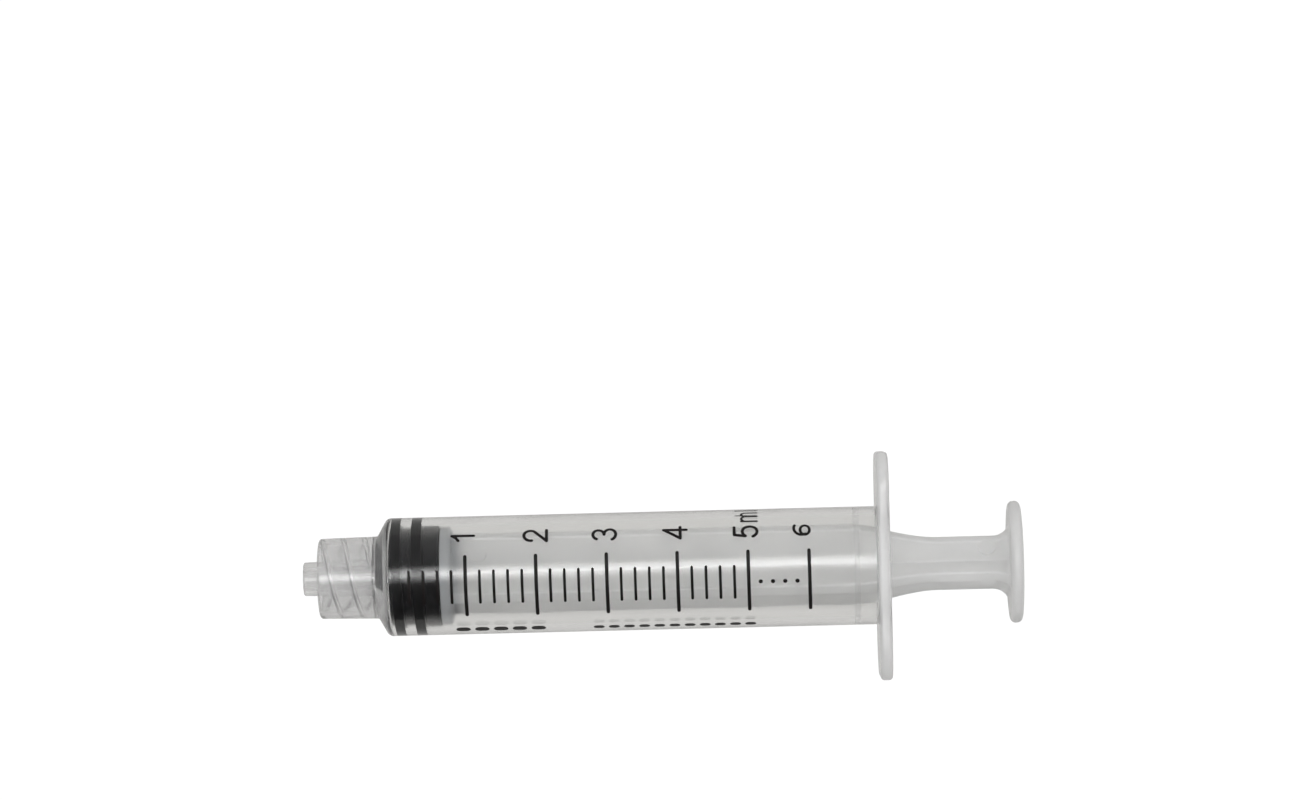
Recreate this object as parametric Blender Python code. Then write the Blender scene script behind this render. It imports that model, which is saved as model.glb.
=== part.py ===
"""A 5 ml oral syringe with a Luer-lock tip: barrel, rubber plunger gasket and plunger rod.

The syringe lies along X with its Luer tip towards -X and its thumb disc towards +X.
Lengths along it are stations in millimetres, counted from the end face of the Luer tip.
Every object has its origin on the barrel's axis, at the Luer tip, so that the slide and
the swivel both run along the objects' own X axis.
"""

import math

import bmesh
import bpy

MM = 0.001
SEGMENTS = 72

# Whole syringe.
OVERALL_LENGTH = 85.4
FLANGE_LENGTH = 27.0
FLANGE_WIDTH = 16.6
AXIS_HEIGHT = FLANGE_WIDTH / 2

# Luer cone, 6 % taper on the diameter, and the lock collar round it.
TIP_RADIUS = 3.97 / 2
TIP_TAPER = 0.03
TIP_CHAMFER = 0.15
FLUID_PATH_RADIUS = 0.95
COLLAR_RIM = 1.9
COLLAR_FLOOR = 8.5
COLLAR_ROOT = 8.9
COLLAR_RIM_RADIUS = 4.76
COLLAR_ROOT_RADIUS = 4.9
COLLAR_BORE_RADIUS = 4.0
COLLAR_EDGE = 0.22

# Double-start internal thread of the collar.
THREAD_LEAD = 5.0
THREAD_STARTS = 2
THREAD_CREST_RADIUS = 3.5
THREAD_CREST_WIDTH = 0.3
THREAD_ROOT_WIDTH = 0.9
THREAD_EMBED = 0.35
THREAD_FIRST = 2.85
THREAD_LAST = 7.65
THREAD_TURN = math.radians(40.3)
THREAD_STEPS_PER_TURN = 48

# Barrel tube.
BARREL_RADIUS = 14.06 / 2
BORE_RADIUS = 12.3 / 2
SHOULDER_END = 10.15
SHOULDER_ROUND = 0.55
BORE_START = 10.45
NOSE_START = 9.05
FLANGE_FRONT = 68.3
FLANGE_THICKNESS = 1.43
FLANGE_CORNER = 4.6
FLANGE_EDGE = 0.45
FLANGE_FILLET = 0.3
MOUTH_RADIUS = 6.25
MOUTH_CHAMFER = 0.3
BEAD_STATION = 65.8
BEAD_HALF_LENGTH = 0.3
BEAD_RADIUS = 5.9

# Plunger gasket.
SEAL_CLEARANCE = 0.03
NOSE_GAP = 0.12
RIB_RADIUS = BORE_RADIUS - SEAL_CLEARANCE
RIBS = ((10.68, 12.13), (13.12, 14.62))
RIB_EDGE = 0.12
GROOVE_RADIUS = 5.8
TAIL_RADIUS = 6.0
TAIL_END = 16.4
SOCKET_START = 11.6
SOCKET_END = 14.7
SOCKET_RADIUS = 3.6
SOCKET_MOUTH_RADIUS = 2.5

# Plunger rod.
HEAD_CLEARANCE = 0.15
HEAD_CHAMFER = 0.9
FRONT_DISC_START = TAIL_END + 0.1
FRONT_DISC_END = 17.8
FRONT_DISC_RADIUS = 5.8
FRONT_DISC_EDGE = 0.4
FIN_THICKNESS = 1.4
FIN_EMBED = 0.4
FIN_RADIUS = 5.27
FIN_WAIST_RADIUS = 3.39
FIN_TAPER_START = 64.5
FIN_TAPER_END = 75.5
FIN_TAPER_STEPS = 12
FIN_ROOT_FILLET = 2.0
THUMB_DISC_FRONT = 83.95
THUMB_DISC_RADIUS = 14.5 / 2
THUMB_DISC_EDGE = 0.55
ROD_TURN = math.radians(29)

MATERIALS = {
    # name: (colour, roughness, metallic, transmission)
    "clear_polypropylene": ((0.80, 0.81, 0.80), 0.12, 0.0, 0.8),
    "black_rubber": ((0.015, 0.015, 0.017), 0.45, 0.0, 0.0),
    "milky_polypropylene": ((0.72, 0.73, 0.72), 0.3, 0.0, 0.35),
}


def clear_scene():
    for obj in list(bpy.data.objects):
        bpy.data.objects.remove(obj, do_unlink=True)


def make_material(name):
    colour, roughness, metallic, transmission = MATERIALS[name]
    material = bpy.data.materials.new(name)
    material.use_nodes = True
    shader = material.node_tree.nodes["Principled BSDF"]
    shader.inputs["Base Color"].default_value = (*colour, 1.0)
    shader.inputs["Roughness"].default_value = roughness
    shader.inputs["Metallic"].default_value = metallic
    shader.inputs["Transmission Weight"].default_value = transmission
    return material


def add_object(name, mesh_builder, material=None):
    """An object whose origin is on the barrel's axis, at the end of the Luer tip."""
    mesh_builder.normal_update()
    mesh = bpy.data.meshes.new(name)
    mesh_builder.to_mesh(mesh)
    mesh_builder.free()
    obj = bpy.data.objects.new(name, mesh)
    obj.location = (-OVERALL_LENGTH / 2 * MM, 0, AXIS_HEIGHT * MM)
    bpy.context.collection.objects.link(obj)
    if material:
        mesh.materials.append(material)
    return obj


def arc(station, radius, size, start_deg, end_deg, steps=3):
    """Profile points round a centre. 0 degrees points along the axis, 90 away from it."""
    points = []
    for step in range(steps + 1):
        angle = math.radians(start_deg + (end_deg - start_deg) * step / steps)
        points.append((station + size * math.cos(angle), radius + size * math.sin(angle)))
    return points


def turned_ring(station, radius):
    """One ring of a turned shape, as a list of points in millimetres."""
    points = []
    for index in range(SEGMENTS):
        angle = 2 * math.pi * index / SEGMENTS
        points.append((station, radius * math.cos(angle), radius * math.sin(angle)))
    return points


def rounded_rectangle_ring(station, inset):
    """One ring of the flange's outline, drawn in by inset, at the turned rings' angles."""
    corner = FLANGE_CORNER - inset
    side_y = FLANGE_LENGTH / 2 - inset
    side_z = FLANGE_WIDTH / 2 - inset
    centre_y, centre_z = side_y - corner, side_z - corner
    points = []
    for index in range(SEGMENTS):
        angle = 2 * math.pi * index / SEGMENTS
        along_y, along_z = abs(math.cos(angle)), abs(math.sin(angle))
        if along_z * side_y <= along_y * centre_z:
            reach = side_y / along_y
        elif along_y * side_z <= along_z * centre_y:
            reach = side_z / along_z
        else:
            middle = along_y * centre_y + along_z * centre_z
            offset = centre_y**2 + centre_z**2 - corner**2
            reach = middle + math.sqrt(middle**2 - offset)
        points.append((station, reach * math.cos(angle), reach * math.sin(angle)))
    return points


def loft(rings, closed):
    """Skin a list of rings. Closed joins the last ring to the first, else both get a cap."""
    builder = bmesh.new()
    loops = []
    for ring in rings:
        loops.append([builder.verts.new([value * MM for value in point]) for point in ring])
    pairs = list(zip(loops, loops[1:]))
    if closed:
        pairs.append((loops[-1], loops[0]))
    else:
        builder.faces.new(loops[0])
        builder.faces.new(loops[-1])
    for first, second in pairs:
        for index in range(len(first)):
            after = (index + 1) % len(first)
            builder.faces.new((first[index], first[after], second[after], second[index]))
    bmesh.ops.recalc_face_normals(builder, faces=builder.faces)
    return builder


def union(obj, other):
    """Join a hidden helper to an object with a Boolean modifier."""
    modifier = obj.modifiers.new(other.name, "BOOLEAN")
    modifier.operation = "UNION"
    modifier.solver = "EXACT"
    modifier.object = other
    other.hide_render = True
    other.display_type = "WIRE"


def shade_smooth(obj):
    """Smooth normals over the round surfaces, and hard edges where faces meet steeply."""
    for polygon in obj.data.polygons:
        polygon.use_smooth = True
    obj.data.set_sharp_from_angle(angle=math.radians(35))


def barrel_front_profile():
    """(station, radius) from the fluid path's mouth to the fillet under the flange."""
    chamfered = TIP_RADIUS + TIP_TAPER * TIP_CHAMFER
    cone_root = TIP_RADIUS + TIP_TAPER * COLLAR_FLOOR
    profile = [
        (0, FLUID_PATH_RADIUS),
        (0, chamfered - TIP_CHAMFER),
        (TIP_CHAMFER, chamfered),
        (COLLAR_FLOOR, cone_root),
        (COLLAR_FLOOR, COLLAR_BORE_RADIUS),
        (COLLAR_RIM + COLLAR_EDGE, COLLAR_BORE_RADIUS),
    ]
    rim_inner = COLLAR_BORE_RADIUS + COLLAR_EDGE
    rim_outer = COLLAR_RIM_RADIUS - COLLAR_EDGE
    profile.append((COLLAR_RIM, rim_inner))
    profile += arc(COLLAR_RIM + COLLAR_EDGE, rim_outer, COLLAR_EDGE, 180, 90)
    profile.append((COLLAR_ROOT, COLLAR_ROOT_RADIUS))
    slope = math.degrees(
        math.atan2(BARREL_RADIUS - COLLAR_ROOT_RADIUS, SHOULDER_END - COLLAR_ROOT)
    )
    corner = BARREL_RADIUS - SHOULDER_ROUND
    profile += arc(SHOULDER_END + SHOULDER_ROUND / 4, corner, SHOULDER_ROUND, 90 + slope, 90)
    fillet_top = BARREL_RADIUS + FLANGE_FILLET
    profile += arc(FLANGE_FRONT - FLANGE_FILLET, fillet_top, FLANGE_FILLET, -90, 0, 2)
    return profile


def barrel_inner_profile():
    """(station, radius) from the mouth behind the flange to the Luer fluid path."""
    rear = FLANGE_FRONT + FLANGE_THICKNESS
    return [
        (rear, MOUTH_RADIUS + MOUTH_CHAMFER),
        (rear - MOUTH_CHAMFER, MOUTH_RADIUS),
        (BEAD_STATION + BEAD_HALF_LENGTH, MOUTH_RADIUS),
        (BEAD_STATION + BEAD_HALF_LENGTH / 2, BEAD_RADIUS),
        (BEAD_STATION - BEAD_HALF_LENGTH / 2, BEAD_RADIUS),
        (BEAD_STATION - BEAD_HALF_LENGTH, BORE_RADIUS),
        (BORE_START, BORE_RADIUS),
        (NOSE_START, FLUID_PATH_RADIUS),
    ]


def flange_edge_rings():
    """Rings round the flange's rounded edge, from its front face to its rear face."""
    rings = []
    front = FLANGE_FRONT + FLANGE_EDGE
    rear = FLANGE_FRONT + FLANGE_THICKNESS - FLANGE_EDGE
    for station, out in arc(front, 0, FLANGE_EDGE, 180, 90) + arc(rear, 0, FLANGE_EDGE, 90, 0):
        rings.append(rounded_rectangle_ring(station, FLANGE_EDGE - out))
    return rings


def thread_ridge(start):
    """One start of the collar's thread, sunk into the collar's wall and faded out at its ends."""
    travel = THREAD_LAST - THREAD_FIRST
    steps = round(THREAD_STEPS_PER_TURN * travel / THREAD_LEAD)
    root_radius = COLLAR_BORE_RADIUS + THREAD_EMBED
    sections = []
    for step in range(steps + 1):
        share = step / steps
        turns = start / THREAD_STARTS + share * travel / THREAD_LEAD
        angle = THREAD_TURN + 2 * math.pi * turns
        fade = min(1, 6 * min(share, 1 - share) + 0.02)
        crest_radius = root_radius - 0.05 + fade * (THREAD_CREST_RADIUS - root_radius + 0.05)
        middle = THREAD_FIRST + share * travel
        section = []
        for side, width, radius in (
            (-1, THREAD_ROOT_WIDTH, root_radius),
            (-1, THREAD_CREST_WIDTH, crest_radius),
            (1, THREAD_CREST_WIDTH, crest_radius),
            (1, THREAD_ROOT_WIDTH, root_radius),
        ):
            station = middle + side * width / 2
            section.append((station, radius * math.cos(angle), radius * math.sin(angle)))
        sections.append(section)
    return sections


def make_barrel(material):
    """Tube, shoulder, Luer cone, lock collar and finger flange: one clear moulding."""
    rings = [turned_ring(*point) for point in barrel_front_profile()]
    rings += flange_edge_rings()
    rings += [turned_ring(*point) for point in barrel_inner_profile()]
    barrel = add_object("barrel", loft(rings, closed=True), material)
    for start in range(THREAD_STARTS):
        ridge = add_object(f"thread_ridge_{start + 1}", loft(thread_ridge(start), closed=False))
        union(barrel, ridge)
    shade_smooth(barrel)
    return barrel


def nose_station(radius):
    """Station of the cone that the gasket's nose and the barrel's inner shoulder share."""
    slope = (BORE_START - NOSE_START) / (BORE_RADIUS - FLUID_PATH_RADIUS)
    return BORE_START - (BORE_RADIUS - radius) * slope


def make_gasket(material):
    """Rubber gasket: cone nose, two sealing ribs, a tail, and the socket for the rod's head."""
    apex_radius = 0.4
    profile = [
        (nose_station(apex_radius) + NOSE_GAP, apex_radius),
        (nose_station(GROOVE_RADIUS) + NOSE_GAP, GROOVE_RADIUS),
    ]
    for rib_start, rib_end in RIBS:
        profile += [
            (rib_start, GROOVE_RADIUS),
            (rib_start + RIB_EDGE, RIB_RADIUS),
            (rib_end - RIB_EDGE, RIB_RADIUS),
            (rib_end, GROOVE_RADIUS),
        ]
    profile += [
        (RIBS[-1][1] + RIB_EDGE, TAIL_RADIUS),
        (TAIL_END, TAIL_RADIUS),
        (TAIL_END, SOCKET_MOUTH_RADIUS),
        (SOCKET_END, SOCKET_MOUTH_RADIUS),
        (SOCKET_END, SOCKET_RADIUS),
        (SOCKET_START + HEAD_CHAMFER, SOCKET_RADIUS),
        (SOCKET_START, SOCKET_RADIUS - HEAD_CHAMFER),
    ]
    rings = [turned_ring(*point) for point in profile]
    gasket = add_object("plunger_gasket", loft(rings, closed=False), material)
    shade_smooth(gasket)
    return gasket


def head_and_front_disc_profile():
    """(station, radius) of the rod's snap head, neck and front disc."""
    head_front = SOCKET_START + HEAD_CLEARANCE
    head_radius = SOCKET_RADIUS - HEAD_CLEARANCE
    head_end = SOCKET_END - HEAD_CLEARANCE
    neck_radius = SOCKET_MOUTH_RADIUS - HEAD_CLEARANCE
    disc_edge = FRONT_DISC_RADIUS - FRONT_DISC_EDGE
    return [
        (head_front, head_radius - HEAD_CHAMFER),
        (head_front + HEAD_CHAMFER, head_radius),
        (head_end, head_radius),
        (head_end, neck_radius),
        (FRONT_DISC_START, neck_radius),
        (FRONT_DISC_START, FRONT_DISC_RADIUS),
    ] + arc(FRONT_DISC_END - FRONT_DISC_EDGE, disc_edge, FRONT_DISC_EDGE, 90, 0)


def thumb_disc_profile():
    rim = THUMB_DISC_RADIUS - THUMB_DISC_EDGE
    front = arc(THUMB_DISC_FRONT + THUMB_DISC_EDGE, rim, THUMB_DISC_EDGE, 180, 90)
    rear = arc(OVERALL_LENGTH - THUMB_DISC_EDGE, rim, THUMB_DISC_EDGE, 90, 0)
    return front + rear


def fin_stations():
    """(station, reach) along a fin: straight, a smooth taper, a waist and a root fillet."""
    stations = [(FRONT_DISC_END - FIN_EMBED, FIN_RADIUS)]
    for step in range(FIN_TAPER_STEPS + 1):
        share = step / FIN_TAPER_STEPS
        station = FIN_TAPER_START + share * (FIN_TAPER_END - FIN_TAPER_START)
        narrowing = (1 - math.cos(math.pi * share)) / 2
        stations.append((station, FIN_RADIUS + narrowing * (FIN_WAIST_RADIUS - FIN_RADIUS)))
    fillet_start = THUMB_DISC_FRONT - FIN_ROOT_FILLET
    fillet_centre = FIN_WAIST_RADIUS + FIN_ROOT_FILLET
    stations += arc(fillet_start, fillet_centre, FIN_ROOT_FILLET, -90, 0, 6)
    stations.append((THUMB_DISC_FRONT + FIN_EMBED, fillet_centre))
    return stations


def cross_section(station, reach):
    """The + shaped section of the rod's four fins."""
    half = FIN_THICKNESS / 2
    quarter = [(reach, -half), (reach, half), (half, half)]
    section = []
    for turn in range(4):
        cosine, sine = round(math.cos(turn * math.pi / 2)), round(math.sin(turn * math.pi / 2))
        for y, z in quarter:
            section.append((station, y * cosine - z * sine, y * sine + z * cosine))
    return section


def make_rod(material):
    """Plunger rod: snap head, front disc, cross-shaped fins and thumb disc, one moulding."""
    front = [turned_ring(*point) for point in head_and_front_disc_profile()]
    rod = add_object("plunger_rod", loft(front, closed=False), material)
    sections = [cross_section(*point) for point in fin_stations()]
    fins = add_object("fins", loft(sections, closed=False))
    disc_rings = [turned_ring(*point) for point in thumb_disc_profile()]
    disc = add_object("thumb_disc", loft(disc_rings, closed=False))
    union(rod, fins)
    union(rod, disc)
    for piece in (rod, fins, disc):
        piece.rotation_euler.x = ROD_TURN
    shade_smooth(rod)
    return rod


def main():
    clear_scene()
    make_barrel(make_material("clear_polypropylene"))
    make_gasket(make_material("black_rubber"))
    make_rod(make_material("milky_polypropylene"))


main()
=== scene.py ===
"""Looks of the oral syringe: clear barrel, black gasket, milky rod and printed scale."""

import math

import bmesh
import bpy
from mathutils import Matrix, Vector, geometry


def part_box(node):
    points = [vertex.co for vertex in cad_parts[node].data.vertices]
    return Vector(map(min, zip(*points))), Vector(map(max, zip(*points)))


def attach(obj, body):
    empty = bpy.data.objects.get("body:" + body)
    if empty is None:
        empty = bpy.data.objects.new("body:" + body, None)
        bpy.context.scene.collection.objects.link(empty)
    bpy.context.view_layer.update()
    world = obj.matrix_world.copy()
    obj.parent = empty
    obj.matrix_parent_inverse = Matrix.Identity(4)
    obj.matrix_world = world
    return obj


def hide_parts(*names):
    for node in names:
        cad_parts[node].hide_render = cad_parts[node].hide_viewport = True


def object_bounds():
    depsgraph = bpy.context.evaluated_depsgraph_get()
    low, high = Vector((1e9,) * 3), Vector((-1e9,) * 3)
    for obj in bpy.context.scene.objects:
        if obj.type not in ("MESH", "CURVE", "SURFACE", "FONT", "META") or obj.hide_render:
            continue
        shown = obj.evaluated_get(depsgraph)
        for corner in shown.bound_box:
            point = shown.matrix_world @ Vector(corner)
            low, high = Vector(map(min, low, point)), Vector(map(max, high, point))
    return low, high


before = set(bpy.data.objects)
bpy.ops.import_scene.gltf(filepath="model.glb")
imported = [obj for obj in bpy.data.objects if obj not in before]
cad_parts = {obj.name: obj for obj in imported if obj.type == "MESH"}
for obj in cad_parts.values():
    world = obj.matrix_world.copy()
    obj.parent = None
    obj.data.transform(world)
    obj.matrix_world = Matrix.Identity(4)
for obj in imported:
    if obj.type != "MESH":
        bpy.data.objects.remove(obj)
cad_low, cad_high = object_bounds()

MM = 0.001

# The frame: stations run along X from the end of the Luer tip, in millimetres.
barrel_low, barrel_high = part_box("barrel")
TIP_X = barrel_low.x
AXIS_Z = (barrel_low.z + barrel_high.z) / 2
OVERALL_LENGTH = (cad_high.x - cad_low.x) / MM
FLANGE_LENGTH = (barrel_high.y - barrel_low.y) / MM
FLANGE_WIDTH = (barrel_high.z - barrel_low.z) / MM
FLANGE_REAR = (barrel_high.x - barrel_low.x) / MM

# Luer cone and lock collar.
FLUID_PATH_RADIUS = 0.95
TIP_RADIUS = 1.985
TIP_TAPER = 0.03
COLLAR_RIM = 1.9
COLLAR_FLOOR = 8.5
COLLAR_ROOT = 8.9
COLLAR_RIM_RADIUS = 4.76
COLLAR_ROOT_RADIUS = 4.9
COLLAR_BORE_RADIUS = 4.0
THREAD_LEAD = 5.0
THREAD_PITCH = 2.5
THREAD_HEIGHT = 0.5
THREAD_CREST = 0.06
THREAD_BASE = 0.3
THREAD_AT_ANGLE_ZERO = 2.29
THREAD_ROW = 0.06

# Barrel tube and flange.
BARREL_RADIUS = 7.03
BORE_RADIUS = 6.15
CLEAR_START = 10.2
SHOULDER_END = 10.1
BORE_START = 10.45
NOSE_START = 9.05
FLANGE_FRONT = 68.3
FLANGE_CORNER = 4.6
FLANGE_EDGE = 0.45
MOUTH_RADIUS = 6.25
BEAD_STATION = 65.8
BEAD_RADIUS = 6.13
BEAD_HALF_WIDTH = 0.35
CLOUDY_BEAD_HALF_WIDTH = 0.25
# The barrel's materials, in the order of its material slots; the last is painted shade on one flank
# of the thread.
CLOUDY, CLEAR, HAZY, PAINTED_SHADE = range(4)

# Gasket.
RIB_RADIUS = 6.156
RIBS = ((10.68, 12.13), (13.12, 14.62))
GROOVE_RADIUS = 5.8
TAIL_RADIUS = 6.0
TAIL_END = 16.4
NOSE_SQUEEZE = 0.006
NOSE_CONTACT_RADIUS = 5.5
NOSE_GAP_Y = -1.2
GASKET_TILT = 0.027
TAIL_TILT = 0.009
SOCKET_LIP = 14.7
SOCKET_SHOULDER = 12.5
SOCKET_FLOOR = 11.6
SOCKET_MOUTH_RADIUS = 2.5
SOCKET_RADIUS = 3.6
SOCKET_FLOOR_RADIUS = 2.7

# Rod.
HEAD_START = 11.75
HEAD_SHOULDER = 12.65
HEAD_END = 14.55
HEAD_TIP_RADIUS = 2.5
HEAD_RADIUS = 3.45
NECK_RADIUS = 2.35
FRONT_DISC_START = 16.5
FRONT_DISC_END = 17.8
FRONT_DISC_RADIUS = 5.8
FIN_HALF_THICKNESS = 0.7
FIN_RADIUS = 5.27
FIN_WAIST_RADIUS = 3.39
FIN_TAPER_START = 64.5
FIN_TAPER_END = 75.5
FIN_ROOT_FILLET = 2.0
FIN_EDGE_FILLET = 0.28
FIN_INNER_FILLET = 0.22
FIN_FLARE = 0.3
FRONT_PIN = 20.8
WAIST_PIN = 81.3
THUMB_DISC_FRONT = 83.95
THUMB_DISC_RADIUS = 7.25
ROD_TURN = math.radians(29)

# Printed scale. Arcs are measured round the barrel from its top, positive towards +Y.
INK_LOW = 0.004
INK_HIGH = 0.018
FIRST_MARK = 11.306
MILLILITRE = 8.339
SIX_MARK = 60.18
LONG_MARK = (2.365, -4.97)
SHORT_MARK = (0.62, -3.21)
DOT_AROUND = -1.24
NUMERAL_START = 4.22
NUMERAL_BASE = 1.15
# The print sits a little askew: it drifts round the barrel, and its strokes lean along it.
PRINT_DRIFT = -0.0061
PRINT_LEAN = -0.0061
PRINT_MIDDLE = 40.0

SEGMENTS = 240

# Light. The floor and the room look white to the camera, and glow less than that on the object.
FLOOR_GLOW = 0.63
ROOM_GLOW_NEAR = 0.06
ROOM_GLOW_FAR = 0.42
SOFTBOX_LAYERS = ((0.42, 1.1), (0.3, 1.4), (0.19, 1.75), (0.1, 1.9))
NEAR_FILL = 1.55
FAR_FILL = 1.1
WHITE_TO_CAMERA = 1.05
PLASTIC_IOR = 1.49


def clamp(value):
    """The value, kept between 0 and 1."""
    return min(1.0, max(0.0, value))


def ellipse(centre, radius_x, radius_y, start_deg, end_deg, steps=16):
    """Points along part of an ellipse round a 2D centre."""
    points = []
    for step in range(steps + 1):
        angle = math.radians(start_deg + (end_deg - start_deg) * step / steps)
        x = centre[0] + radius_x * math.cos(angle)
        points.append((x, centre[1] + radius_y * math.sin(angle)))
    return points


def arc(centre, radius, start_deg, end_deg, steps):
    return ellipse(centre, radius, radius, start_deg, end_deg, steps)


def filleted(corners, steps=5):
    """An open profile of (station, radius, fillet) corners, with each corner rounded."""
    points = []
    for index, (x, r, size) in enumerate(corners):
        here = Vector((x, r))
        if size == 0 or index in (0, len(corners) - 1):
            points.append((x, r))
            continue
        back = Vector(corners[index - 1][:2]) - here
        ahead = Vector(corners[index + 1][:2]) - here
        half = back.angle(ahead) / 2
        reach = min(size / math.tan(half), 0.48 * back.length, 0.48 * ahead.length)
        size = reach * math.tan(half)
        centre = here + (back.normalized() + ahead.normalized()).normalized() * (
            size / math.sin(half)
        )
        first = here + back.normalized() * reach - centre
        last = here + ahead.normalized() * reach - centre
        for step in range(steps + 1):
            spoke = first.slerp(last, step / steps, first) * size
            points.append(tuple(centre + spoke))
    return points


def turned_ring(station, radius):
    """A circle about the barrel's axis."""
    points = []
    for index in range(SEGMENTS):
        angle = 2 * math.pi * index / SEGMENTS
        points.append((station, radius * math.cos(angle), radius * math.sin(angle)))
    return points


def loft(rings, closed):
    """Skin a list of rings. Closed joins the last ring to the first, else both get a cap."""
    builder = bmesh.new()
    loops = [[builder.verts.new(point) for point in ring] for ring in rings]
    pairs = list(zip(loops, loops[1:]))
    if closed:
        pairs.append((loops[-1], loops[0]))
    else:
        builder.faces.new(loops[0])
        builder.faces.new(loops[-1])
    for first, second in pairs:
        for index in range(len(first)):
            after = (index + 1) % len(first)
            builder.faces.new((first[index], first[after], second[after], second[index]))
    bmesh.ops.recalc_face_normals(builder, faces=builder.faces)
    return builder


def new_piece(name, builder, turn=0.0):
    """A scene object from a mesh in station millimetres, turned about the barrel's axis."""
    place = Matrix.Translation((TIP_X, 0, AXIS_Z))
    place = place @ Matrix.Rotation(turn, 4, "X") @ Matrix.Scale(MM, 4)
    builder.transform(place)
    mesh = bpy.data.meshes.new(name)
    builder.to_mesh(mesh)
    builder.free()
    piece = bpy.data.objects.new(name, mesh)
    bpy.context.scene.collection.objects.link(piece)
    return piece


def smooth(piece, angle_deg=40):
    """Smooth shading that follows the flat faces, with creases only where faces meet steeply."""
    for polygon in piece.data.polygons:
        polygon.use_smooth = True
    piece.data.set_sharp_from_angle(angle=math.radians(angle_deg))
    weighted = piece.modifiers.new("weighted", "WEIGHTED_NORMAL")
    weighted.keep_sharp = True
    weighted.mode = "FACE_AREA"


# ---------------------------------------------------------------- materials


def principled(name, colour, roughness):
    material = bpy.data.materials.new(name)
    material.use_nodes = True
    shader = material.node_tree.nodes["Principled BSDF"]
    shader.inputs["Base Color"].default_value = (*colour, 1)
    shader.inputs["Roughness"].default_value = roughness
    return material, shader


def noise(material, scale, detail=3.0, stretch=(1, 1, 1)):
    """A noise texture in object metres. stretch squeezes the pattern along each axis."""
    nodes, links = material.node_tree.nodes, material.node_tree.links
    coordinates = nodes.new("ShaderNodeTexCoord")
    mapping = nodes.new("ShaderNodeMapping")
    mapping.inputs["Scale"].default_value = stretch
    texture = nodes.new("ShaderNodeTexNoise")
    texture.inputs["Scale"].default_value = scale
    texture.inputs["Detail"].default_value = detail
    links.new(coordinates.outputs["Object"], mapping.inputs["Vector"])
    links.new(mapping.outputs["Vector"], texture.inputs["Vector"])
    return texture.outputs["Fac"]


def ramp_colour(material, factor, low, high):
    """Colour variation between two colours, driven by a noise factor."""
    nodes, links = material.node_tree.nodes, material.node_tree.links
    ramp = nodes.new("ShaderNodeValToRGB")
    ramp.color_ramp.elements[0].position = 0.3
    ramp.color_ramp.elements[0].color = (*low, 1)
    ramp.color_ramp.elements[1].position = 0.7
    ramp.color_ramp.elements[1].color = (*high, 1)
    links.new(factor, ramp.inputs["Fac"])
    return ramp.outputs["Color"]


def ramp_value(material, factor, low, high):
    """A value that varies between two limits, driven by a noise factor."""
    nodes, links = material.node_tree.nodes, material.node_tree.links
    spread = nodes.new("ShaderNodeMapRange")
    spread.inputs["From Min"].default_value = 0.3
    spread.inputs["From Max"].default_value = 0.7
    spread.inputs["To Min"].default_value = low
    spread.inputs["To Max"].default_value = high
    links.new(factor, spread.inputs["Value"])
    return spread.outputs["Result"]


def bump(material, shader, height, strength, distance):
    nodes, links = material.node_tree.nodes, material.node_tree.links
    node = nodes.new("ShaderNodeBump")
    node.inputs["Strength"].default_value = strength
    node.inputs["Distance"].default_value = distance
    links.new(height, node.inputs["Height"])
    links.new(node.outputs["Normal"], shader.inputs["Normal"])


def clear_polypropylene():
    """Clear moulding: faint cloudiness, flow lines along the tube, a polished surface."""
    material, shader = principled("clear_polypropylene", (0.97, 0.97, 0.965), 0.1)
    links = material.node_tree.links
    shader.inputs["Transmission Weight"].default_value = 1.0
    shader.inputs["IOR"].default_value = PLASTIC_IOR
    flow = noise(material, 900, 2, stretch=(0.08, 1, 1))
    cloud = noise(material, 260, 3)
    tint = ramp_colour(material, cloud, (0.955, 0.955, 0.95), (0.98, 0.98, 0.975))
    links.new(tint, shader.inputs["Base Color"])
    links.new(ramp_value(material, cloud, 0.08, 0.14), shader.inputs["Roughness"])
    bump(material, shader, flow, 0.04, 0.0002)
    return material


def hazy_polypropylene(name, transmission, low, high, shade=1.0):
    """The same plastic where it is thicker and scatters more light. A shade below 1 darkens its
    colour as painted shade.
    """
    material, shader = principled(name, (0.92 * shade,) * 3, (low + high) / 2)
    links = material.node_tree.links
    shader.inputs["Transmission Weight"].default_value = transmission
    shader.inputs["IOR"].default_value = PLASTIC_IOR
    cloud = noise(material, 420, 3)
    grain = noise(material, 2600, 2)
    tint = ramp_colour(material, cloud, (0.9 * shade,) * 3, (0.94 * shade,) * 3)
    links.new(tint, shader.inputs["Base Color"])
    links.new(ramp_value(material, cloud, low, high), shader.inputs["Roughness"])
    bump(material, shader, grain, 0.06, 0.00003)
    return material


def shade_near_gasket(material, colour):
    """Darken a colour towards the rod's front disc, which loses light into the black rubber."""
    nodes, links = material.node_tree.nodes, material.node_tree.links
    coordinates = nodes.new("ShaderNodeTexCoord")
    axes = nodes.new("ShaderNodeSeparateXYZ")
    links.new(coordinates.outputs["Object"], axes.inputs["Vector"])
    fade = nodes.new("ShaderNodeMapRange")
    fade.interpolation_type = "SMOOTHSTEP"
    fade.inputs["From Min"].default_value = TIP_X + (FRONT_DISC_END - 0.2) * MM
    fade.inputs["From Max"].default_value = TIP_X + (FRONT_DISC_END + 1.6) * MM
    links.new(axes.outputs["X"], fade.inputs["Value"])
    mix = nodes.new("ShaderNodeMix")
    mix.data_type = "RGBA"
    mix.inputs["A"].default_value = (0.52, 0.535, 0.55, 1)
    links.new(fade.outputs["Result"], mix.inputs["Factor"])
    links.new(colour, mix.inputs["B"])
    return mix.outputs["Result"]


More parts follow.
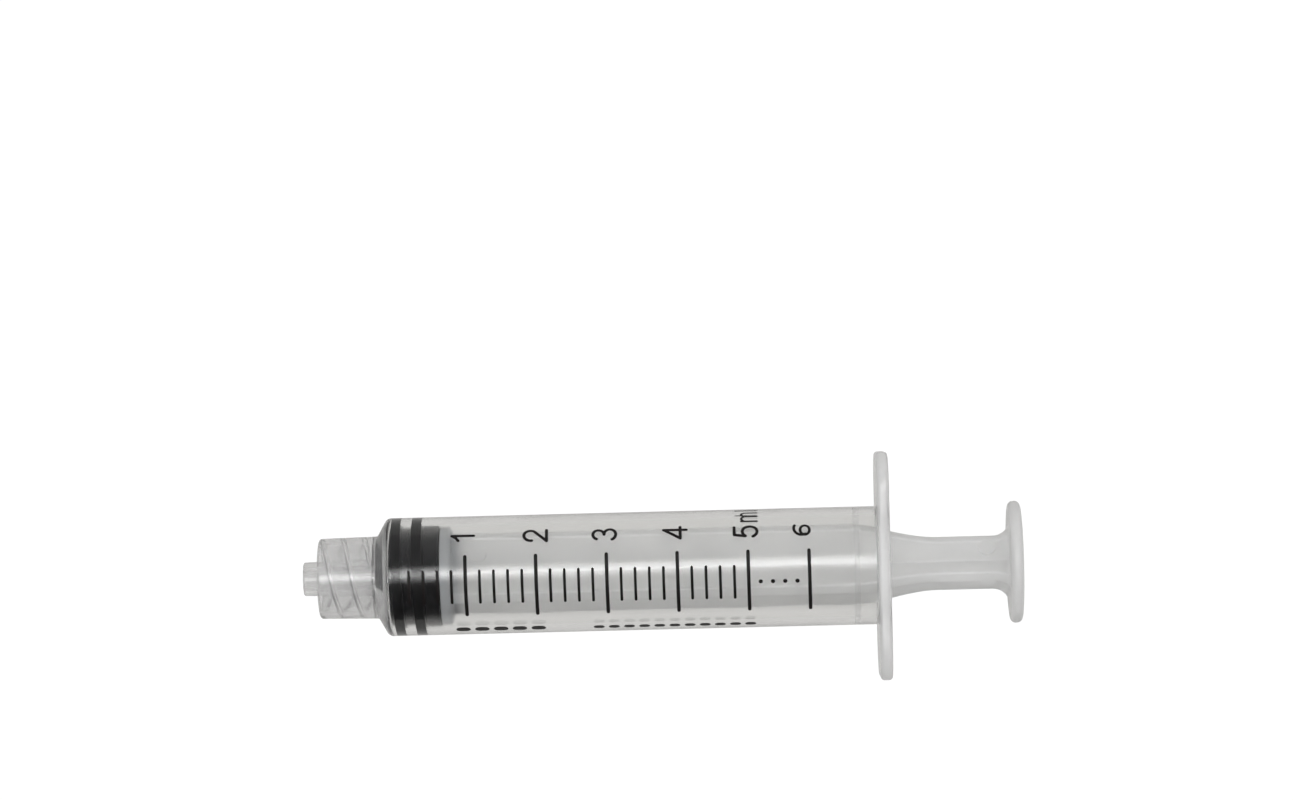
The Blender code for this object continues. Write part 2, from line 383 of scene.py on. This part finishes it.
def milky_polypropylene():
    """Translucent moulding with a fine satin surface."""
    material, shader = principled("milky_polypropylene", (0.89, 0.89, 0.885), 0.35)
    links = material.node_tree.links
    shader.inputs["Transmission Weight"].default_value = 0.45
    shader.inputs["IOR"].default_value = PLASTIC_IOR
    cloud = noise(material, 320, 3)
    grain = noise(material, 9000, 2)
    tint = ramp_colour(material, cloud, (0.87, 0.87, 0.865), (0.91, 0.91, 0.905))
    links.new(shade_near_gasket(material, tint), shader.inputs["Base Color"])
    links.new(ramp_value(material, cloud, 0.28, 0.4), shader.inputs["Roughness"])
    bump(material, shader, grain, 0.15, 0.00002)
    return material


def black_rubber():
    """Moulded black rubber with a silicone film: dark, with soft highlights."""
    material, shader = principled("black_rubber", (0.005, 0.005, 0.006), 0.35)
    links = material.node_tree.links
    shader.inputs["Specular IOR Level"].default_value = 0.25
    film = noise(material, 700, 4)
    grain = noise(material, 12000, 2)
    tint = ramp_colour(material, film, (0.002, 0.002, 0.003), (0.005, 0.005, 0.006))
    links.new(tint, shader.inputs["Base Color"])
    links.new(ramp_value(material, film, 0.28, 0.45), shader.inputs["Roughness"])
    bump(material, shader, grain, 0.2, 0.00002)
    return material


def printed_ink():
    """Pad-printed black ink with slightly uneven density."""
    material, shader = principled("printed_ink", (0.006, 0.005, 0.005), 0.5)
    links = material.node_tree.links
    shader.inputs["Specular IOR Level"].default_value = 0.25
    density = noise(material, 3500, 4)
    tint = ramp_colour(material, density, (0.004, 0.003, 0.003), (0.010, 0.007, 0.007))
    links.new(tint, shader.inputs["Base Color"])
    links.new(ramp_value(material, density, 0.42, 0.6), shader.inputs["Roughness"])
    bump(material, shader, density, 0.1, 0.00001)
    return material


# ---------------------------------------------------------------- barrel


def past_crest(station, angle):
    """How far a station is past the nearest crest before it of the collar's double thread."""
    start = THREAD_AT_ANGLE_ZERO + THREAD_LEAD * angle / (2 * math.pi)
    return (station - start) % THREAD_PITCH


def thread_height(station, angle):
    """How far the collar's double thread stands in from its wall."""
    phase = past_crest(station, angle)
    away = min(phase, THREAD_PITCH - phase)
    rise = clamp((THREAD_BASE - away) / (THREAD_BASE - THREAD_CREST))
    rise = rise * rise * (3 - 2 * rise)
    open_end = clamp((station - COLLAR_RIM - 0.35) / 0.5)
    floor_end = clamp((COLLAR_FLOOR - 0.35 - station) / 0.4)
    return THREAD_HEIGHT * rise * open_end * floor_end


def on_thread_flank(station, y, z):
    """Whether a point of the barrel is on the thread's flank that faces the collar's floor."""
    radius = math.hypot(y, z)
    if not COLLAR_BORE_RADIUS - THREAD_HEIGHT < radius < COLLAR_BORE_RADIUS - 0.03:
        return False
    if not COLLAR_RIM < station < COLLAR_FLOOR - 0.3:
        return False
    return past_crest(station, math.atan2(z, y)) < THREAD_PITCH / 2


def thread_rings():
    """Rings of the collar's inner wall, from its floor out to its rim."""
    first, last = COLLAR_FLOOR - 0.3, COLLAR_RIM + 0.3
    rows = round((first - last) / THREAD_ROW)
    rings = []
    for row in range(rows + 1):
        station = first + (last - first) * row / rows
        ring = []
        for index in range(SEGMENTS):
            angle = 2 * math.pi * index / SEGMENTS
            radius = COLLAR_BORE_RADIUS - thread_height(station, angle)
            ring.append((station, radius * math.cos(angle), radius * math.sin(angle)))
        rings.append(ring)
    return rings


def rounded_rectangle_ring(station, inset):
    """The flange's outline drawn in by inset, sampled at the turned rings' angles."""
    corner = FLANGE_CORNER - inset
    side_y = FLANGE_LENGTH / 2 - inset
    side_z = FLANGE_WIDTH / 2 - inset
    centre_y, centre_z = side_y - corner, side_z - corner
    points = []
    for index in range(SEGMENTS):
        angle = 2 * math.pi * index / SEGMENTS
        along_y, along_z = abs(math.cos(angle)), abs(math.sin(angle))
        if along_z * side_y <= along_y * centre_z:
            reach = side_y / along_y
        elif along_y * side_z <= along_z * centre_y:
            reach = side_z / along_z
        else:
            middle = along_y * centre_y + along_z * centre_z
            offset = centre_y**2 + centre_z**2 - corner**2
            reach = middle + math.sqrt(middle**2 - offset)
        points.append((station, reach * math.cos(angle), reach * math.sin(angle)))
    return points


def flange_edge_rings():
    """Rings round the flange's rim, from its front face to its rear face."""
    front = (FLANGE_FRONT + FLANGE_EDGE, 0)
    rear = (FLANGE_REAR - FLANGE_EDGE, 0)
    outline = arc(front, FLANGE_EDGE, 180, 90, 6) + arc(rear, FLANGE_EDGE, 90, 0, 6)
    return [rounded_rectangle_ring(station, FLANGE_EDGE - out) for station, out in outline]


def barrel_finish(place):
    """Which of the barrel's materials a place on it has, painted shade on the thread's flank
    included.
    """
    station, y, z = (place.x - TIP_X) / MM, place.y / MM, (place.z - AXIS_Z) / MM
    on_bead = abs(station - BEAD_STATION) < CLOUDY_BEAD_HALF_WIDTH
    if on_bead and math.hypot(y, z) < MOUTH_RADIUS:
        return CLOUDY
    # Painted shade: the thread's flank that faces the collar's floor gets a darkened colour.
    if on_thread_flank(station, y, z):
        return PAINTED_SHADE
    if station > FLANGE_FRONT:
        return HAZY
    return CLEAR if station > CLEAR_START else CLOUDY


def make_barrel(materials):
    """One closed skin: the cone, the collar, the tube, the flange and back along the bore."""
    cone_root = TIP_RADIUS + TIP_TAPER * COLLAR_FLOOR
    tip = [
        (4.0, FLUID_PATH_RADIUS, 0),
        (0, FLUID_PATH_RADIUS, 0.12),
        (0, TIP_RADIUS, 0.2),
        (COLLAR_FLOOR, cone_root, 0.3),
        (COLLAR_FLOOR, COLLAR_BORE_RADIUS, 0.25),
        (COLLAR_FLOOR - 0.28, COLLAR_BORE_RADIUS, 0),
    ]
    outside = [
        (COLLAR_RIM + 0.28, COLLAR_BORE_RADIUS, 0),
        (COLLAR_RIM, COLLAR_BORE_RADIUS, 0.18),
        (COLLAR_RIM, COLLAR_RIM_RADIUS, 0.35),
        (COLLAR_ROOT, COLLAR_ROOT_RADIUS, 0.25),
        (SHOULDER_END, BARREL_RADIUS, 0.8),
        (FLANGE_FRONT, BARREL_RADIUS, 0.35),
        (FLANGE_FRONT, BARREL_RADIUS + 0.45, 0),
    ]
    inside = [
        (FLANGE_REAR, BARREL_RADIUS + 0.3, 0),
        (FLANGE_REAR, MOUTH_RADIUS, 0.35),
        (BEAD_STATION + 2.2, MOUTH_RADIUS, 6.0),
        (BEAD_STATION + BEAD_HALF_WIDTH, BORE_RADIUS, 1.0),
        (BEAD_STATION, BEAD_RADIUS, 1.0),
        (BEAD_STATION - BEAD_HALF_WIDTH, BORE_RADIUS, 1.0),
        (BORE_START, BORE_RADIUS, 0.3),
        (NOSE_START, FLUID_PATH_RADIUS, 0.25),
        (5.0, FLUID_PATH_RADIUS, 0),
    ]
    rings = [turned_ring(*point) for point in filleted(tip)]
    rings += thread_rings()
    rings += [turned_ring(*point) for point in filleted(outside)]
    rings += flange_edge_rings()
    rings += [turned_ring(*point) for point in filleted(inside)]
    piece = new_piece("clear_barrel", loft(rings, closed=True))
    smooth(piece)
    for material in materials:
        piece.data.materials.append(material)
    for polygon in piece.data.polygons:
        polygon.material_index = barrel_finish(polygon.center)
    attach(piece, "barrel_body")
    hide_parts("barrel")
    return piece


# ---------------------------------------------------------------- gasket


def nose_station(radius):
    """Where the cone inside the barrel's end has this radius."""
    slope = (BORE_START - NOSE_START) / (BORE_RADIUS - FLUID_PATH_RADIUS)
    return BORE_START - (BORE_RADIUS - radius) * slope


def tilt_gasket(x, y, z):
    """The gasket sits a little askew: pressed against the barrel's end at +Y, clear of it at -Y."""
    nose = clamp((RIBS[0][0] - x) / 0.3)
    tail = clamp((x - RIBS[1][1]) / (TAIL_END - RIBS[1][1]))
    lean = GASKET_TILT + (TAIL_TILT - GASKET_TILT) * tail
    shift = -lean * y * (1 - nose) + GASKET_TILT * max(0.0, NOSE_GAP_Y - y) * nose
    return (x + shift, y, z)


def make_gasket(material):
    corners = [
        (nose_station(0.5), 0.05, 0),
        (nose_station(0.5) - NOSE_SQUEEZE, 0.5, 0.3),
        (nose_station(NOSE_CONTACT_RADIUS) - NOSE_SQUEEZE, NOSE_CONTACT_RADIUS, 0.08),
    ]
    for rib_start, rib_end in RIBS:
        corners += [
            (rib_start, GROOVE_RADIUS, 0.08),
            (rib_start + 0.12, RIB_RADIUS, 0.1),
            (rib_end - 0.12, RIB_RADIUS, 0.1),
            (rib_end, GROOVE_RADIUS, 0.08),
        ]
    corners += [
        (RIBS[-1][1] + 0.15, TAIL_RADIUS, 0.1),
        (TAIL_END, TAIL_RADIUS, 0.15),
        (TAIL_END, SOCKET_MOUTH_RADIUS, 0.15),
        (SOCKET_LIP, SOCKET_MOUTH_RADIUS, 0.1),
        (SOCKET_LIP, SOCKET_RADIUS, 0.1),
        (SOCKET_SHOULDER, SOCKET_RADIUS, 0.2),
        (SOCKET_FLOOR, SOCKET_FLOOR_RADIUS, 0),
    ]
    rings = [turned_ring(x, r) for x, r in filleted(corners, 4)]
    rings = [[tilt_gasket(*point) for point in ring] for ring in rings]
    piece = new_piece("rubber_gasket", loft(rings, closed=False))
    smooth(piece)
    piece.data.materials.append(material)
    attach(piece, "gasket_body")
    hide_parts("plunger_gasket")
    return piece


# ---------------------------------------------------------------- rod


def fin_section(station, reach, half):
    """The + shaped section of the fins, with rounded edges and filleted inner corners."""
    edge = min(FIN_EDGE_FILLET, half * 0.45)
    inner = FIN_INNER_FILLET
    quarter = arc((reach - edge, -half + edge), edge, -90, 0, 4)
    quarter += arc((reach - edge, half - edge), edge, 0, 90, 4)
    quarter += arc((half + inner, half + inner), inner, -90, -180, 4)
    section = []
    for turn in range(4):
        cosine, sine = round(math.cos(turn * math.pi / 2)), round(math.sin(turn * math.pi / 2))
        for y, z in quarter:
            section.append((station, y * cosine - z * sine, y * sine + z * cosine))
    return section


def fin_rings():
    """The four fins from the front disc to the thumb disc, flared where they meet each."""
    rings = []
    for step in range(7):
        angle = math.pi / 2 * step / 6
        station = FRONT_DISC_END + FIN_FLARE * (1 - math.cos(angle))
        half = FIN_HALF_THICKNESS + FIN_FLARE * (1 - math.sin(angle))
        rings.append(fin_section(station, FIN_RADIUS, half))
    rings.insert(0, fin_section(FRONT_DISC_END - 0.4, FIN_RADIUS, FIN_HALF_THICKNESS + FIN_FLARE))
    taper_steps = 24
    for step in range(taper_steps + 1):
        share = step / taper_steps
        station = FIN_TAPER_START + share * (FIN_TAPER_END - FIN_TAPER_START)
        narrowing = (1 - math.cos(math.pi * share)) / 2
        reach = FIN_RADIUS + narrowing * (FIN_WAIST_RADIUS - FIN_RADIUS)
        rings.append(fin_section(station, reach, FIN_HALF_THICKNESS))
    fillet_steps = 16
    for step in range(fillet_steps + 1):
        angle = math.pi / 2 * step / fillet_steps
        station = THUMB_DISC_FRONT - FIN_ROOT_FILLET * (1 - math.sin(angle))
        reach = FIN_WAIST_RADIUS + FIN_ROOT_FILLET * (1 - math.cos(angle))
        short = max(0.0, 1 - (THUMB_DISC_FRONT - station) / FIN_FLARE)
        half = FIN_HALF_THICKNESS + FIN_FLARE * (1 - math.sqrt(1 - short * short))
        rings.append(fin_section(station, reach, half))
    rings.append(fin_section(THUMB_DISC_FRONT + 0.4, reach, half))
    return rings


def boolean(piece, operation, builders, turn):
    """Apply Boolean operations of helper meshes to a piece, and drop the helpers."""
    helpers = []
    for number, builder in enumerate(builders):
        helper = new_piece(f"helper_{number}", builder, turn)
        modifier = piece.modifiers.new(helper.name, "BOOLEAN")
        modifier.operation = operation
        modifier.solver = "EXACT"
        modifier.object = helper
        helpers.append(helper)
    graph = bpy.context.evaluated_depsgraph_get()
    graph.update()
    mesh = bpy.data.meshes.new_from_object(piece.evaluated_get(graph))
    piece.modifiers.clear()
    piece.data = mesh
    for helper in helpers:
        bpy.data.objects.remove(helper, do_unlink=True)


def pin_mark(station, across, radius, depth=0.14):
    """A shallow round cutter for the flat left by an ejector pin on a fin's upper face."""
    builder = bmesh.new()
    place = Matrix.Translation((station, across, FIN_HALF_THICKNESS + 0.5 - depth))
    bmesh.ops.create_cone(
        builder, cap_ends=True, segments=64, radius1=radius, radius2=radius + 0.3, depth=1.0,
        matrix=place,
    )
    return builder


def pin_pad(station, reach):
    """A round pad on one side of the upright fin's edge, where an ejector pin pushed on it."""
    builder = bmesh.new()
    place = Matrix.Translation((station, -0.35, reach - 0.62))
    bmesh.ops.create_cone(
        builder, cap_ends=True, segments=64, radius1=0.6, radius2=0.95, depth=1.2, matrix=place
    )
    return builder


def make_rod(material):
    head_and_disc = [
        (HEAD_START, HEAD_TIP_RADIUS, 0),
        (HEAD_SHOULDER, HEAD_RADIUS, 0.2),
        (HEAD_END, HEAD_RADIUS, 0.1),
        (HEAD_END, NECK_RADIUS, 0.1),
        (FRONT_DISC_START, NECK_RADIUS, 0.1),
        (FRONT_DISC_START, FRONT_DISC_RADIUS, 0.12),
        (FRONT_DISC_END, FRONT_DISC_RADIUS, 0.45),
        (FRONT_DISC_END, 1.0, 0),
    ]
    thumb_disc = [
        (THUMB_DISC_FRONT, 1.0, 0),
        (THUMB_DISC_FRONT, THUMB_DISC_RADIUS, 0.62),
        (OVERALL_LENGTH, THUMB_DISC_RADIUS, 0.68),
        (OVERALL_LENGTH, 1.0, 0),
    ]
    rings = [turned_ring(*point) for point in filleted(head_and_disc, 5)]
    piece = new_piece("plunger_rod_moulding", loft(rings, closed=False), ROD_TURN)
    thumb_rings = [turned_ring(*point) for point in filleted(thumb_disc, 9)]
    unions = [
        loft(fin_rings(), closed=False),
        loft(thumb_rings, closed=False),
        pin_pad(WAIST_PIN, FIN_WAIST_RADIUS),
        pin_pad(FRONT_PIN, FIN_RADIUS),
    ]
    boolean(piece, "UNION", unions, ROD_TURN)
    cuts = [pin_mark(WAIST_PIN, 2.5, 1.0), pin_mark(FRONT_PIN, 3.3, 1.1)]
    boolean(piece, "DIFFERENCE", cuts, ROD_TURN)
    smooth(piece, 35)
    piece.data.materials.clear()
    piece.data.materials.append(material)
    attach(piece, "rod_body")
    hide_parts("plunger_rod")
    return piece


# ---------------------------------------------------------------- print


def on_barrel(station, around, height):
    """A point on the barrel, with around in millimetres of arc from its top towards +Y."""
    station += PRINT_LEAN * around
    angle = (around + PRINT_DRIFT * (station - PRINT_MIDDLE)) / BARREL_RADIUS
    radius = BARREL_RADIUS + height
    return (station, radius * math.sin(angle), radius * math.cos(angle))


def split_long(stroke, longest=0.25):
    """Add points to a stroke so that no stretch is too long to follow the barrel."""
    points = [Vector(stroke[0])]
    for end in map(Vector, stroke[1:]):
        start = points[-1]
        count = max(1, math.ceil((end - start).length / longest))
        points += [start.lerp(end, number / count) for number in range(1, count + 1)]
    return points


def stroke_polygons(stroke, width):
    """The quads along one smooth stroke, and a round cap at each of its ends."""
    points = split_long(stroke)
    sides = []
    for index, point in enumerate(points):
        before = points[max(index - 1, 0)]
        after = points[min(index + 1, len(points) - 1)]
        along = (after - before).normalized()
        across = Vector((-along.y, along.x)) * (width / 2)
        sides.append((point + across, point - across))
    polygons = []
    for (left, right), (next_left, next_right) in zip(sides, sides[1:]):
        polygons.append([right, next_right, next_left, left])
    for end in (points[0], points[-1]):
        polygons.append([Vector(p) for p in arc(end, width / 2, 7, 337, 11)])
    return polygons


def print_on_barrel(name, strokes, material):
    """Thin raised ink from (stroke, width) pairs, joined where the strokes cross."""
    points, polygons = [], []
    for stroke, width in strokes:
        for polygon in stroke_polygons(stroke, width):
            polygons.append(list(range(len(points), len(points) + len(polygon))))
            points += polygon
    found = geometry.delaunay_2d_cdt(points, [], polygons, 1, 1e-5, True)
    flat_points, _, triangles, _, _, sources = found
    builder = bmesh.new()
    low = [builder.verts.new(on_barrel(p.x, p.y, INK_LOW)) for p in flat_points]
    high = [builder.verts.new(on_barrel(p.x, p.y, INK_HIGH)) for p in flat_points]
    edges = {}
    for triangle, source in zip(triangles, sources):
        if not source:
            continue
        builder.faces.new([high[index] for index in triangle])
        builder.faces.new([low[index] for index in reversed(triangle)])
        for start, end in zip(triangle, triangle[1:] + triangle[:1]):
            edges[(start, end)] = True
    for start, end in edges:
        if (end, start) not in edges:
            builder.faces.new((high[end], high[start], low[start], low[end]))
    loose = [vert for vert in builder.verts if not vert.link_faces]
    bmesh.ops.delete(builder, geom=loose, context="VERTS")
    bmesh.ops.recalc_face_normals(builder, faces=builder.faces)
    piece = new_piece(name, builder)
    piece.data.materials.append(material)
    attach(piece, "barrel_body")
    return piece


# Each glyph is a list of strokes in a box one unit high, with y up and the baseline at 0.
GLYPHS = {
    "1": [[(0.10, 0.72), (0.25, 0.82), (0.38, 1.0)], [(0.38, 1.0), (0.38, 0.04)]],
    "2": [
        ellipse((0.32, 0.64), 0.29, 0.29, 190, -35) + [(0.35, 0.29), (0.0, -0.06)],
        [(0.0, -0.06), (0.64, -0.06)],
    ],
    "3": [
        ellipse((0.29, 0.755), 0.26, 0.245, 160, -90),
        ellipse((0.30, 0.255), 0.30, 0.255, 90, -160),
    ],
    "4": [[(0.48, 0.0), (0.48, 1.0)], [(0.48, 1.0), (0.0, 0.27)], [(0.0, 0.27), (0.66, 0.27)]],
    "5": [
        [(0.56, 1.0), (0.12, 1.0)],
        [(0.12, 1.0), (0.05, 0.54)],
        ellipse((0.30, 0.325), 0.30, 0.325, 145, -155),
    ],
    "6": [
        ellipse((0.32, 0.30), 0.30, 0.30, 180, -180),
        ellipse((0.44, 0.52), 0.42, 0.48, 210, 62),
    ],
    "m": [
        [(0.0, 0.0), (0.0, 0.70)],
        ellipse((0.19, 0.50), 0.19, 0.20, 180, 0, 10) + [(0.38, 0.0)],
        ellipse((0.57, 0.50), 0.19, 0.20, 180, 0, 10) + [(0.76, 0.0)],
    ],
    "l": [[(0.0, 0.0), (0.0, 0.95)]],
}


def glyph(name, baseline, start, height, width, pen):
    """Strokes of one glyph, read towards +Y with its top towards the Luer tip."""
    strokes = []
    for stroke in GLYPHS[name]:
        placed = [(baseline - y * height, start + x * width) for x, y in stroke]
        strokes.append((placed, pen))
    return strokes


def dashes(start, end, count, around, gap, pen):
    """A plain broken line, in place of lettering."""
    pitch = (end - start + gap) / count
    strokes = []
    for number in range(count):
        first = start + pitch * number + pen / 2
        strokes.append(([(first, around), (first + pitch - gap - pen, around)], pen))
    return strokes


def make_print(material):
    """The scale and its numerals, and plain dashes where the barrel has words."""
    marks = []
    for fifth in range(1, 25):
        station = FIRST_MARK + MILLILITRE * fifth / 5
        if fifth % 5:
            marks.append(([(station, SHORT_MARK[0]), (station, SHORT_MARK[1])], 0.33))
    for station in [FIRST_MARK + MILLILITRE * number for number in range(1, 6)] + [SIX_MARK]:
        marks.append(([(station, LONG_MARK[0]), (station, LONG_MARK[1])], 0.42))
    for dot in range(4):
        station = FIRST_MARK + MILLILITRE * 5 + 1.4 + 1.44 * dot
        marks.append(([(station - 0.01, DOT_AROUND), (station + 0.01, DOT_AROUND)], 0.5))
    marks += dashes(18.15, 28.8, 5, -7.9, 0.5, 1.05)
    marks += dashes(34.45, 53.7, 11, -8.0, 0.5, 0.8)
    print_on_barrel("scale_marks", marks, material)
    numerals = []
    for number in range(1, 6):
        baseline = FIRST_MARK + MILLILITRE * number + NUMERAL_BASE
        numerals += glyph(str(number), baseline, NUMERAL_START, 2.7, 2.6, 0.37)
    numerals += glyph("6", SIX_MARK + 0.15, NUMERAL_START + 0.12, 1.85, 2.3, 0.34)
    unit_base = FIRST_MARK + MILLILITRE * 5 + NUMERAL_BASE
    numerals += glyph("m", unit_base, 6.71, 2.6, 2.63, 0.3)
    numerals += glyph("l", unit_base, 9.6, 2.6, 2.6, 0.3)
    print_on_barrel("scale_numerals", numerals, material)


# ---------------------------------------------------------------- stage, light, camera


def make_floor():
    """A pale floor under the syringe, tilted to touch both its flange and its shoulder.

    It is clear from below, because a level view from the tip's end starts under the tilt.
    """
    flange_x = TIP_X + (FLANGE_FRONT + FLANGE_REAR) / 2 * MM
    shoulder_x = TIP_X + SHOULDER_END * MM
    lift = (FLANGE_WIDTH / 2 - BARREL_RADIUS) * MM
    tilt = math.atan2(lift, flange_x - shoulder_x)
    builder = bmesh.new()
    bmesh.ops.create_grid(builder, x_segments=4, y_segments=4, size=2.0)
    place = Matrix.Translation((flange_x, 0, -0.00005)) @ Matrix.Rotation(tilt, 4, "Y")
    builder.transform(place)
    mesh = bpy.data.meshes.new("studio_floor")
    builder.to_mesh(mesh)
    builder.free()
    floor = bpy.data.objects.new("studio_floor", mesh)
    bpy.context.scene.collection.objects.link(floor)
    mesh.materials.append(studio_paper())
    return tilt


def studio_paper():
    """White to the camera, a softer glow on the object, and clear from below."""
    material = bpy.data.materials.new("studio_paper")
    material.use_nodes = True
    nodes, links = material.node_tree.nodes, material.node_tree.links
    nodes.remove(nodes["Principled BSDF"])
    paper = nodes.new("ShaderNodeEmission")
    paper.inputs["Color"].default_value = (1, 0.99, 0.97, 1)
    paper.inputs["Strength"].default_value = FLOOR_GLOW
    white = nodes.new("ShaderNodeEmission")
    white.inputs["Color"].default_value = (1, 1, 1, 1)
    white.inputs["Strength"].default_value = WHITE_TO_CAMERA
    path = nodes.new("ShaderNodeLightPath")
    mix = nodes.new("ShaderNodeMixShader")
    links.new(path.outputs["Is Camera Ray"], mix.inputs["Fac"])
    links.new(paper.outputs["Emission"], mix.inputs[1])
    links.new(white.outputs["Emission"], mix.inputs[2])
    side = nodes.new("ShaderNodeNewGeometry")
    from_below = nodes.new("ShaderNodeBsdfTransparent")
    sided = nodes.new("ShaderNodeMixShader")
    links.new(side.outputs["Backfacing"], sided.inputs["Fac"])
    links.new(mix.outputs["Shader"], sided.inputs[1])
    links.new(from_below.outputs["BSDF"], sided.inputs[2])
    links.new(sided.outputs["Shader"], nodes["Material Output"].inputs["Surface"])
    return material


def make_world():
    """A room that is brighter towards +Y, and white to the camera."""
    world = bpy.data.worlds.new("studio")
    world.use_nodes = True
    nodes, links = world.node_tree.nodes, world.node_tree.links
    background = nodes["Background"]
    path = nodes.new("ShaderNodeLightPath")
    coordinates = nodes.new("ShaderNodeTexCoord")
    axes = nodes.new("ShaderNodeSeparateXYZ")
    links.new(coordinates.outputs["Generated"], axes.inputs["Vector"])
    room = nodes.new("ShaderNodeMapRange")
    room.inputs["From Min"].default_value = 0.3
    room.inputs["From Max"].default_value = 1.0
    room.inputs["To Min"].default_value = ROOM_GLOW_NEAR
    room.inputs["To Max"].default_value = ROOM_GLOW_FAR
    links.new(axes.outputs["Y"], room.inputs["Value"])
    spread = nodes.new("ShaderNodeMapRange")
    spread.inputs["To Max"].default_value = WHITE_TO_CAMERA
    links.new(room.outputs["Result"], spread.inputs["To Min"])
    links.new(path.outputs["Is Camera Ray"], spread.inputs["Value"])
    links.new(spread.outputs["Result"], background.inputs["Strength"])
    background.inputs["Color"].default_value = (1, 1, 1, 1)
    bpy.context.scene.world = world


def make_softbox(name, location, size_x, size_y, radiance):
    """A rectangular light aimed at the middle of the syringe."""
    light = bpy.data.lights.new(name, "AREA")
    light.shape = "RECTANGLE"
    light.size, light.size_y = size_x, size_y
    light.energy = radiance * math.pi * size_x * size_y
    box = bpy.data.objects.new(name, light)
    box.location = location
    box.rotation_euler = (-Vector(location)).to_track_quat("-Z", "Y").to_euler()
    bpy.context.scene.collection.objects.link(box)
    return box


def make_lights():
    """A long softbox overhead, brighter towards its middle, and a pair of fills at each end."""
    for layer, (width, radiance) in enumerate(SOFTBOX_LAYERS):
        height = 0.95 + 0.01 * layer
        box = make_softbox(f"softbox_layer_{layer}", (0.05, 0.22, height), 1.1, width, radiance)
        box.rotation_euler = (0, 0, math.radians(38))
    for side, end in ((-1, "left"), (1, "right")):
        near = make_softbox(f"near_fill_{end}", (0.6 * side, -0.4, 0.6), 0.8, 0.6, NEAR_FILL)
        far = make_softbox(f"far_fill_{end}", (0.6 * side, 0.45, 0.5), 0.8, 0.6, FAR_FILL)
        near.visible_glossy = far.visible_glossy = False


def make_camera(tilt):
    """A long lens looking straight down at the floor, from a little beyond the +Y side."""
    distance = 560 * MM
    left_of_middle = 1.85 * MM
    above_middle = 20.3 * MM
    roll = math.radians(1.474)
    normal = Vector((math.sin(tilt), 0, math.cos(tilt)))
    along = Vector((math.cos(tilt), 0, -math.sin(tilt)))
    right = along * math.cos(roll) - Vector((0, math.sin(roll), 0))
    up = along * math.sin(roll) + Vector((0, math.cos(roll), 0))
    middle = Vector((TIP_X + OVERALL_LENGTH / 2 * MM, 0, AXIS_Z))
    data = bpy.data.cameras.new("camera")
    data.sensor_width = 36
    data.lens = 130.9
    camera = bpy.data.objects.new("camera", data)
    place = middle + normal * distance - right * left_of_middle + up * above_middle
    turn = Matrix((right, up, normal)).transposed().to_4x4()
    camera.matrix_world = Matrix.Translation(place) @ turn
    bpy.context.scene.collection.objects.link(camera)
    bpy.context.scene.camera = camera


def main():
    tilt = make_floor()
    make_world()
    make_camera(tilt)
    make_lights()
    collar = hazy_polypropylene("cloudy_polypropylene", 0.88, 0.14, 0.2)
    flange = hazy_polypropylene("hazy_polypropylene", 0.55, 0.14, 0.22)
    # Painted shade: a darkened copy of the collar's plastic, for the thread's flank that faces the
    # floor.
    flank = hazy_polypropylene("painted_shade_polypropylene", 0.88, 0.14, 0.2, shade=0.5)
    make_barrel([collar, clear_polypropylene(), flange, flank])
    make_gasket(black_rubber())
    make_rod(milky_polypropylene())
    make_print(printed_ink())
    bpy.context.scene.view_settings.view_transform = "Standard"
    # Light keeps its direction through the clear wall, so that it reaches the rod inside.
    bpy.context.scene.cycles.blur_glossy = 0.0


main()
